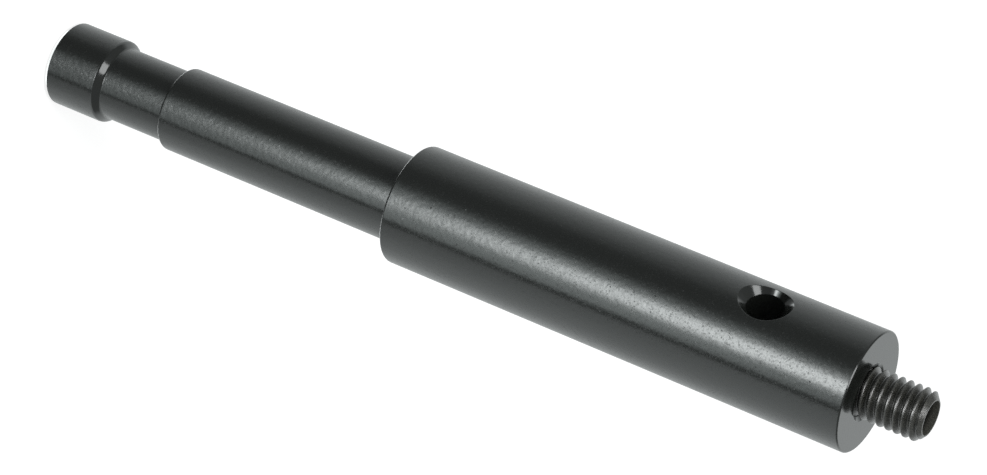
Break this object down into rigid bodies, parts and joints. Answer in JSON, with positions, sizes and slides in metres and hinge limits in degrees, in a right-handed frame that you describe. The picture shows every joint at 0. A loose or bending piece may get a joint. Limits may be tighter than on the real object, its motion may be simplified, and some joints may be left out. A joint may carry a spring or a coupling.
{
  "type": "baby pin",
  "caption": "Turned lighting pin with an undercut neck, a thicker base, a countersunk cross hole and a threaded stud in its end, for carrying a lamp or fixing to a plate.",
  "frame": {"origin": "the middle of the head's flat end, on which the pin stands", "axes": "+Z along the pin's axis from the head to the threaded stud, +X along the cross hole"},
  "size_m": [0.0222, 0.0222, 0.1805],
  "materials": {
    "black_anodised_aluminium": "black anodised, satin",
    "black_oxide_steel": "black oxide, lightly oiled"
  },
  "bodies": {
    "root": {"pin_body": "black_anodised_aluminium", "threaded_stud": "black_oxide_steel"}
  },
  "joints": []
}
